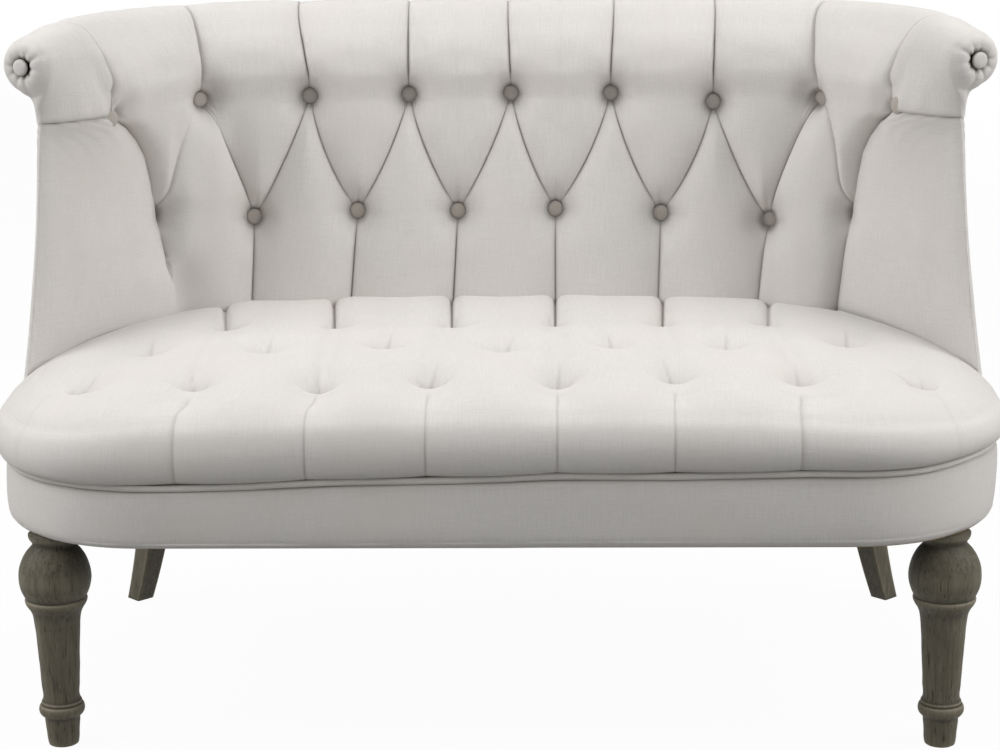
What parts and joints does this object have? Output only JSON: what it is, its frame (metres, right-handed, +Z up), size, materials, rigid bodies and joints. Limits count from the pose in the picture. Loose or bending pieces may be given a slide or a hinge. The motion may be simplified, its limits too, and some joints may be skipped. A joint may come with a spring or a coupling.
{
  "type": "sofa",
  "caption": "Small two-seat sofa with a curved deep-buttoned back, rolled top, tufted seat, turned front legs and sabre back legs.",
  "frame": {"origin": "on the floor, under the middle of the whole sofa", "axes": "+X across to the viewer's right, +Y to the rear, +Z up; the sofa faces -Y"},
  "size_m": [1.1852, 0.65, 0.824],
  "materials": {
    "linen": "plain woven natural linen, matt",
    "button_linen": "linen-covered buttons, matt",
    "leg_wood": "weathered grey-brown open-grained wood",
    "frame_wood": "sawn unfinished hardwood",
    "webbing": "woven jute webbing",
    "deck_cloth": "plain hessian",
    "cambric": "black cambric",
    "bolt_steel": "zinc-plated"
  },
  "bodies": {
    "root": {"seat_border": "linen", "seat_piping": "linen", "seat_cushion": "linen", "inside_back": "linen", "wing_facing_left": "linen", "wing_facing_right": "linen", "outside_panel": "linen", "top_roll": "linen", "back_buttons": "button_linen", "roll_end_buttons": "button_linen", "front_legs": "leg_wood", "back_legs": "leg_wood", "front_seat_rail": "frame_wood", "back_seat_rail": "frame_wood", "side_seat_rail_left": "frame_wood", "side_seat_rail_right": "frame_wood", "seat_stretcher": "frame_wood", "corner_blocks": "frame_wood", "top_rail_back": "frame_wood", "top_rail_left": "frame_wood", "top_rail_right": "frame_wood", "back_post_left": "frame_wood", "back_post_right": "frame_wood", "corner_post_left": "frame_wood", "corner_post_right": "frame_wood", "wing_post_left": "frame_wood", "wing_post_right": "frame_wood", "lower_back_rail": "frame_wood", "seat_webbing_long": "webbing", "seat_webbing_cross": "webbing", "back_webbing": "webbing", "seat_deck_cloth": "deck_cloth", "dust_cover": "cambric", "leg_bolts": "bolt_steel"}
  },
  "joints": []
}
